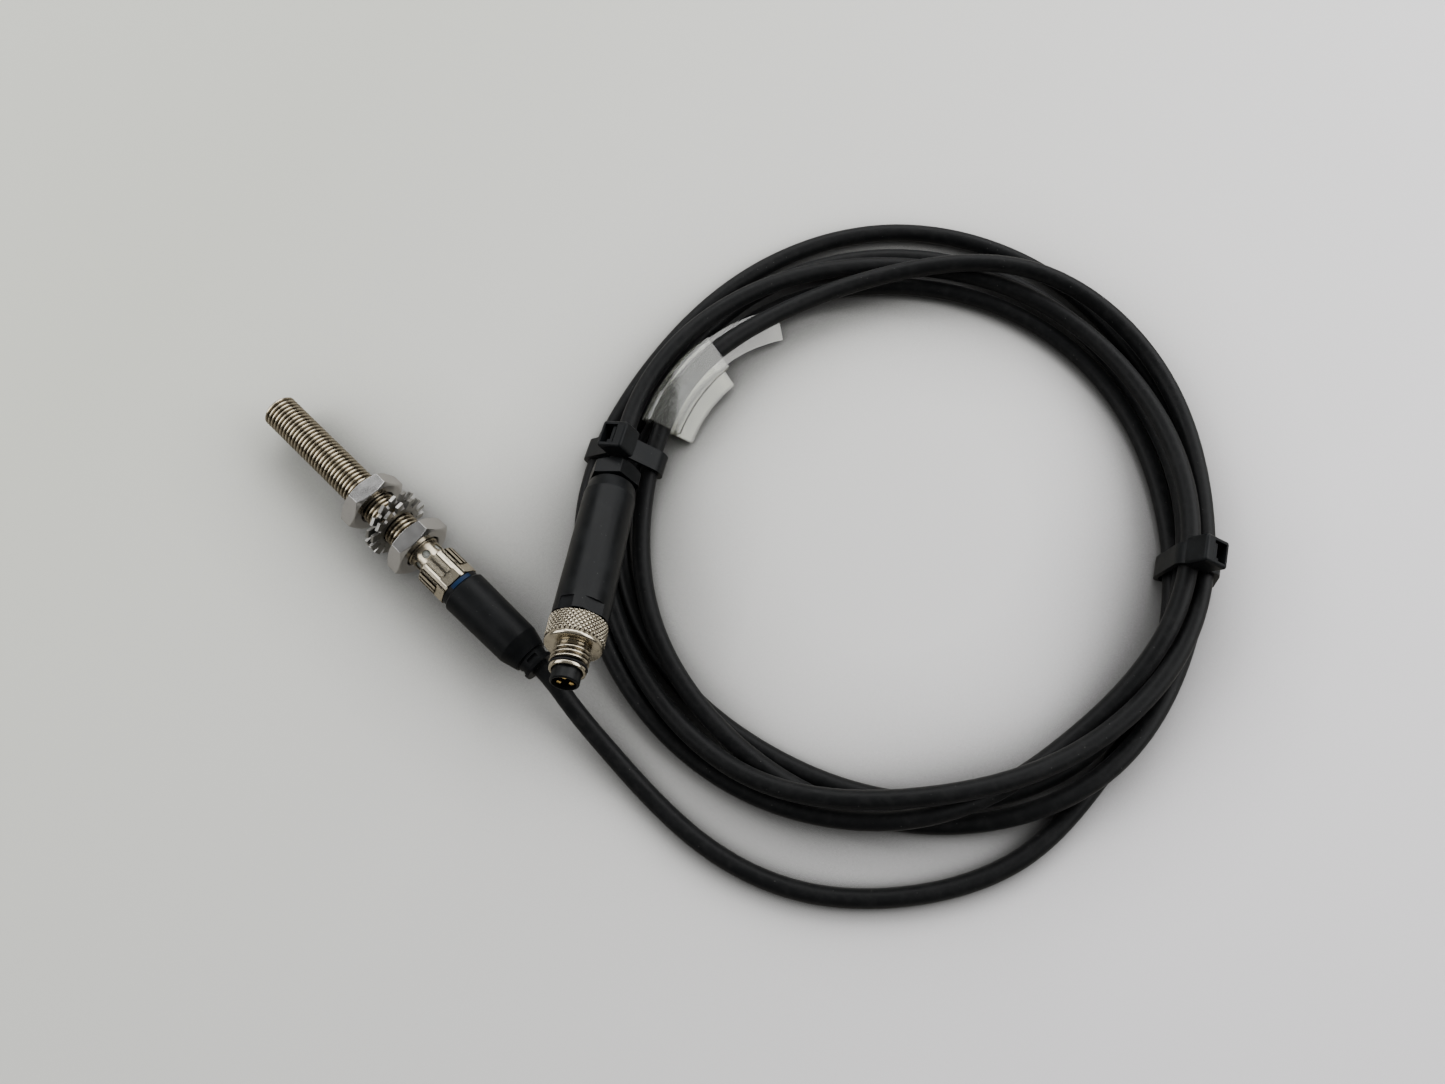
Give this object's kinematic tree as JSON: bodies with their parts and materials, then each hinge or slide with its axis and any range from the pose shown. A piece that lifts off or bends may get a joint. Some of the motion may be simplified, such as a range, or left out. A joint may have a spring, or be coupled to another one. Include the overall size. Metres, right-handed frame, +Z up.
{
  "type": "proximity sensor",
  "caption": "Inductive M8 proximity sensor with nuts and lock washers, on a coiled, tied cable that ends in an M8 plug.",
  "frame": {"origin": "centre of the sensor's active face", "axes": "+X from the active face along the barrel towards the cable, +Z up from the table the assembly lies on, +Y completes the frame"},
  "size_m": [0.1903, 0.1619, 0.0306],
  "materials": {
    "nickel_brass": "nickel-plated brass, finely turned",
    "steel": "polished stainless steel",
    "nickel": "nickel plated, satin",
    "black_plastic": "matt black polyurethane",
    "cable_black": "matt black polyurethane jacket",
    "seal_rubber": "black nitrile rubber",
    "marker_blue": "deep blue plastic",
    "sensing_grey": "dark grey plastic",
    "ferrite": "sintered ferrite",
    "copper": "enamelled copper wire",
    "board_green": "green solder mask",
    "chip_black": "moulded packages",
    "led_clear": "clear amber lamp",
    "lens_clear": "translucent lens plastic",
    "gold": "gold-plated contact",
    "brown_wire": "brown insulation",
    "blue_wire": "blue insulation",
    "black_wire": "black insulation",
    "cage_plastic": "natural polyamide",
    "tie_black": "black polyamide",
    "clear_plastic": "clear flexible PVC",
    "strip_film": "clear label film"
  },
  "bodies": {
    "cable_set": {"cable_jacket": "cable_black", "brown_core": "brown_wire", "blue_core": "blue_wire", "black_core": "black_wire", "socket_grip": "black_plastic", "blue_marker": "marker_blue", "socket_insert": "black_plastic", "socket_contacts": "gold", "socket_seal": "seal_rubber", "plug_body": "black_plastic", "plug_insert": "black_plastic", "plug_pins": "gold", "terminal_screws": "steel", "plug_clamp_cage": "cage_plastic", "cable_tie_left": "tie_black", "cable_tie_right": "tie_black", "label_sleeve": "clear_plastic"},
    "coupling_nut": {"coupling_nut": "nickel"},
    "sensor": {"barrel": "nickel_brass", "sensing_cap": "sensing_grey", "ferrite_core": "ferrite", "sensing_coil": "copper", "circuit_board": "board_green", "board_components": "chip_black", "status_leds": "led_clear", "light_ring": "lens_clear", "sensor_pin_carrier": "black_plastic", "sensor_pins": "gold"},
    "front_nut": {"front_nut": "steel"},
    "rear_nut": {"rear_nut": "steel"},
    "front_lock_washer": {"front_lock_washer": "steel"},
    "rear_lock_washer": {"rear_lock_washer": "steel"},
    "thread_ring": {"plug_thread_ring": "nickel", "plug_o_ring": "seal_rubber"},
    "gland_seal": {"plug_gland_seal": "seal_rubber"},
    "gland_nut": {"plug_gland_nut": "black_plastic"},
    "label_strip": {"label_strip": "strip_film"}
  },
  "joints": [
    {"name": "coupling_nut_turn", "type": "hinge", "parent": "cable_set", "child": "coupling_nut", "pos_m": [0.057, 0, 0], "axis": [1, 0, 0], "range_deg": [0, 1800]},
    {"name": "sensor_unplug", "type": "slide", "parent": "cable_set", "child": "sensor", "axis": [-1, 0, 0], "range_m": [0, 0.005]},
    {"name": "front_nut_travel", "type": "slide", "parent": "sensor", "child": "front_nut", "axis": [1, 0, 0], "range_m": [-0.029, 0.0006]},
    {"name": "rear_nut_travel", "type": "slide", "parent": "sensor", "child": "rear_nut", "axis": [1, 0, 0], "range_m": [-0.0018, 0.0002]},
    {"name": "front_washer_slide", "type": "slide", "parent": "sensor", "child": "front_lock_washer", "axis": [1, 0, 0], "range_m": [-0.002, 0]},
    {"name": "rear_washer_slide", "type": "slide", "parent": "sensor", "child": "rear_lock_washer", "axis": [1, 0, 0], "range_m": [0, 0.0015]},
    {"name": "plug_ring_turn", "type": "hinge", "parent": "cable_set", "child": "thread_ring", "pos_m": [0.09103, 0.00881, 0.01527], "axis": [0.5519, -0.7765, 0.304], "continuous": true},
    {"name": "gland_seal_slide", "type": "slide", "parent": "cable_set", "child": "gland_seal", "axis": [-0.5519, 0.7765, -0.304], "range_m": [0, 0.0007]},
    {"name": "label_strip_pull", "type": "hinge", "parent": "cable_set", "child": "label_strip", "pos_m": [0.10132, 0.07502, -0.01914], "axis": [-0.4482, -0.017, -0.8938], "range_deg": [0, 3]},
    {"name": "gland_nut_turn", "type": "hinge", "parent": "gland_seal", "child": "gland_nut", "pos_m": [0.0684, 0.04065, 0.00281], "axis": [-0.5519, 0.7765, -0.304], "range_deg": [0, 252]}
  ],
  "couplings": [
    {"joint": "coupling_nut_turn", "follows": "sensor_unplug", "rad_per_m": 6283.2},
    {"joint": "gland_nut_turn", "follows": "gland_seal_slide", "rad_per_m": 6283.2}
  ]
}
